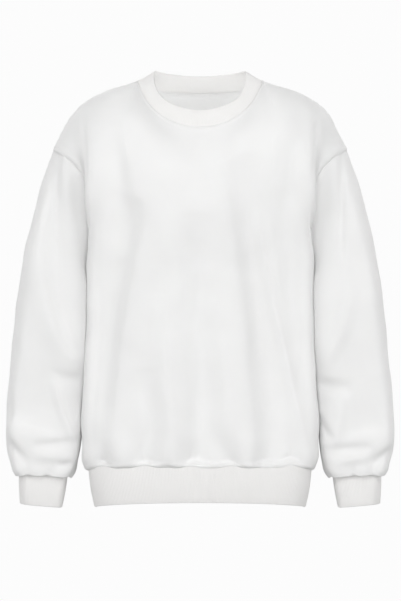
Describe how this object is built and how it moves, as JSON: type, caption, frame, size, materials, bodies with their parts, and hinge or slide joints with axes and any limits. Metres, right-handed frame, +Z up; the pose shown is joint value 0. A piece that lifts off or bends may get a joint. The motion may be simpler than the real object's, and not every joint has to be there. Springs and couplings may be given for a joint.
{
  "type": "crewneck sweatshirt",
  "caption": "Crewneck sweatshirt, relaxed fit with drop shoulders, ribbed neckband, cuffs and hem band, filled out as when worn, hollow and open at neck, cuffs and hem",
  "frame": {"origin": "between the two high shoulder points, level with them, where the wearer's shoulders carry the garment", "axes": "+Z up; the wearer faces -Y; +X is the wearer's left, the viewer's right from the front"},
  "size_m": [0.6358, 0.2765, 0.7169],
  "materials": {
    "fleece": "matt white brushed fleece, fine smooth jersey face",
    "rib": "matt white fine rib knit"
  },
  "bodies": {
    "root": {"front": "fleece", "back": "fleece", "sleeve_left": "fleece", "sleeve_right": "fleece", "neckband": "rib", "hem_band": "rib", "cuff_left": "rib", "cuff_right": "rib"}
  },
  "joints": []
}
